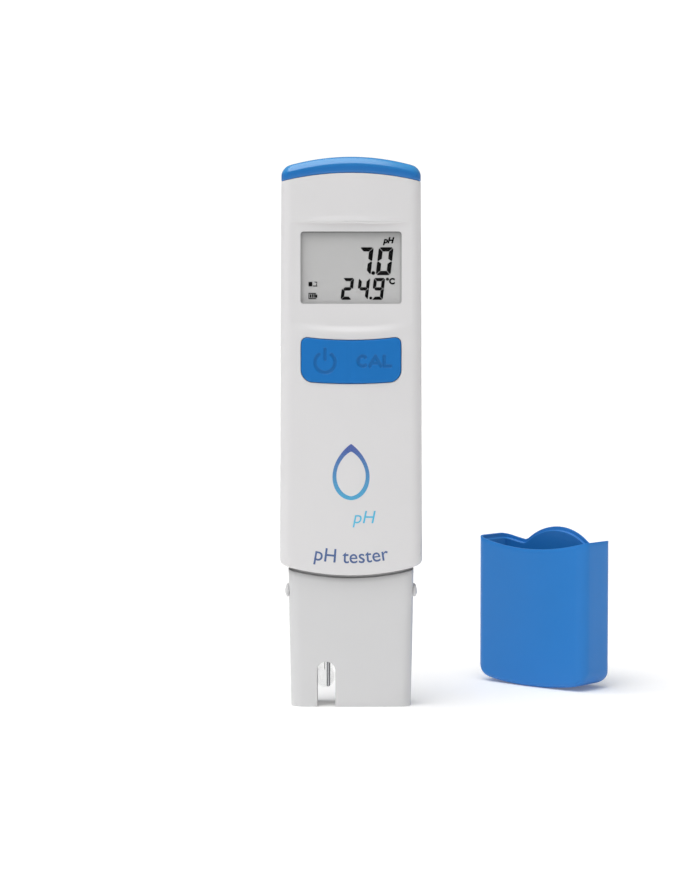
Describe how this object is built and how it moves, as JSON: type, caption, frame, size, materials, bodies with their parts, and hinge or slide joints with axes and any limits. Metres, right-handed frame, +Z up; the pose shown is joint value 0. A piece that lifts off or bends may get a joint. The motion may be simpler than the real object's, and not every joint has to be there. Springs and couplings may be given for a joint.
{
  "type": "ph test pen",
  "caption": "Flat pocket water tester with a display, two rubber keys, a glass electrode in a slotted sleeve, a coin cell under a turn-lock cover and a slip-on cap.",
  "frame": {"origin": "centre of the probe's foot, on the surface that the pen stands on", "axes": "+Z up along the pen, front with the display faces -Y, +X to the right seen from the front"},
  "size_m": [0.0981, 0.0635, 0.157],
  "materials": {
    "housing_plastic": "fine satin moulding",
    "trim_plastic": "gloss",
    "seal_rubber": "matt",
    "window_plastic": "clear",
    "lcd_glass": "satin",
    "frame_plastic": "satin",
    "board": "solder mask",
    "chip": "matt",
    "capacitor_ceramic": "matt",
    "steel": "satin",
    "contact_metal": "plated",
    "key_rubber": "satin silicone",
    "carbon_rubber": "matt",
    "sleeve_plastic": "satin",
    "potting": "matt",
    "electrode_glass": "clear",
    "junction_cloth": "woven",
    "lead_insulation": "satin",
    "cap_plastic": "fine satin moulding"
  },
  "bodies": {
    "housing": {"front_housing": "housing_plastic", "rear_housing": "housing_plastic", "top_trim": "trim_plastic", "housing_gasket": "seal_rubber", "display_window": "window_plastic", "lcd_panel": "lcd_glass", "lcd_frame": "frame_plastic", "lcd_contact_strips": "carbon_rubber", "circuit_board": "board", "microcontroller": "chip", "input_amplifier": "chip", "clock_crystal": "steel", "capacitors": "capacitor_ceramic", "board_screws": "steel", "keypad_web": "key_rubber", "battery_holder": "chip", "battery_contact_negative": "contact_metal", "battery_contact_positive": "contact_metal", "coin_cell": "steel", "probe_sleeve": "sleeve_plastic", "probe_seal": "seal_rubber", "electrode_plug": "potting", "electrode_top_seal": "potting", "glass_stem": "electrode_glass", "glass_bulb": "electrode_glass", "measuring_wire": "steel", "reference_wire": "steel", "temperature_needle": "steel", "thermistor": "carbon_rubber", "sensor_leads": "lead_insulation"},
    "power_key": {"key_power": "key_rubber", "power_contact_pill": "carbon_rubber"},
    "cal_key": {"key_cal": "key_rubber", "cal_contact_pill": "carbon_rubber"},
    "cover_seal": {"battery_cover_seal": "seal_rubber"},
    "cover": {"battery_cover": "housing_plastic"},
    "junction": {"cloth_junction": "junction_cloth"},
    "cap": {"protective_cap": "cap_plastic"}
  },
  "joints": [
    {"name": "power_press", "type": "slide", "parent": "housing", "child": "power_key", "axis": [0, 1, 0], "range_m": [0, 0.0007], "stiffness_N_per_m": 900},
    {"name": "cal_press", "type": "slide", "parent": "housing", "child": "cal_key", "axis": [0, 1, 0], "range_m": [0, 0.0007], "stiffness_N_per_m": 900},
    {"name": "cover_back_out", "type": "slide", "parent": "housing", "child": "cover_seal", "axis": [0, 1, 0], "range_m": [0, 0.003]},
    {"name": "cover_turn", "type": "hinge", "parent": "cover_seal", "child": "cover", "pos_m": [0, 0.0075, 0.095], "axis": [0, 1, 0], "range_deg": [0, 90]},
    {"name": "junction_pull", "type": "slide", "parent": "housing", "child": "junction", "axis": [0, 0, -1], "range_m": [0, 0.003]},
    {"name": "cap_lift", "type": "slide", "parent": "housing", "child": "cap", "axis": [0, 0, 1], "range_m": [0, 0.06]}
  ],
  "couplings": [
    {"joint": "cover_back_out", "follows": "cover_turn", "m_per_rad": 0.0019099}
  ]
}
